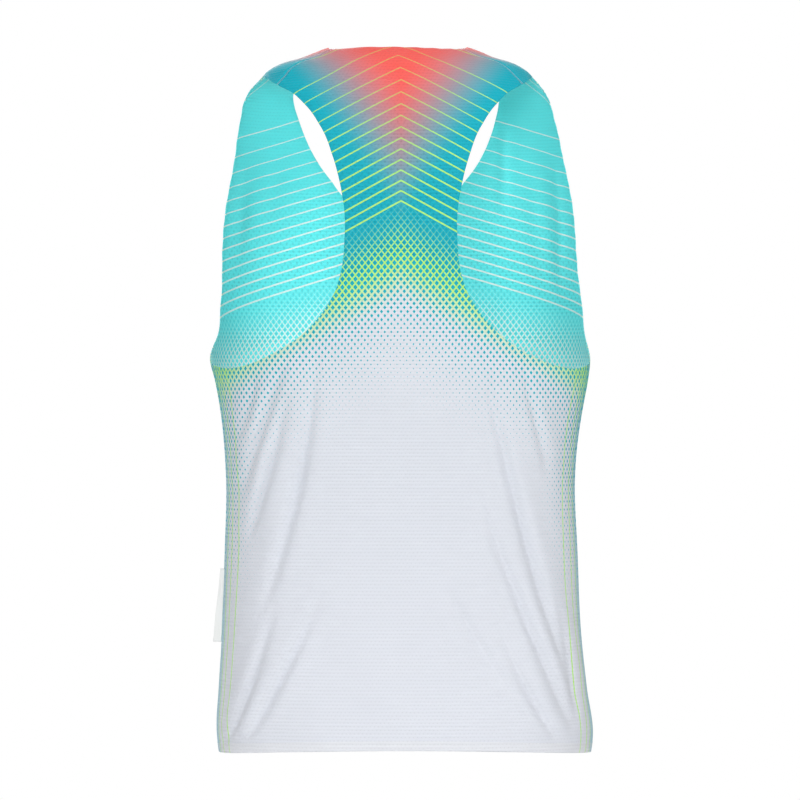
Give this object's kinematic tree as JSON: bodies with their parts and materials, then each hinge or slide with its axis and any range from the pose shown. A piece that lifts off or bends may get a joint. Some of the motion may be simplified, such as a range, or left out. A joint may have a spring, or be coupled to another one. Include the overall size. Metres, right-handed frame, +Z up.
{
  "type": "running singlet",
  "caption": "Sleeveless running singlet with a racer back, scooped front neck and deep armholes, hollow as worn, with a small tab in one side seam.",
  "frame": {"origin": "midway between the two shoulder straps, level with where they rest on the wearer's shoulders", "axes": "+Z up along the body, -Y the way the wearer faces, +X the wearer's left"},
  "size_m": [0.3808, 0.2335, 0.7041],
  "materials": {
    "printed_knit": "light mesh knit with a soft matt sheen, printed in turquoise, coral and lime over white",
    "label_tape": "thin white woven tape, bare"
  },
  "bodies": {
    "root": {"back_panel": "printed_knit", "front_panel": "printed_knit", "side_label": "label_tape"}
  },
  "joints": []
}
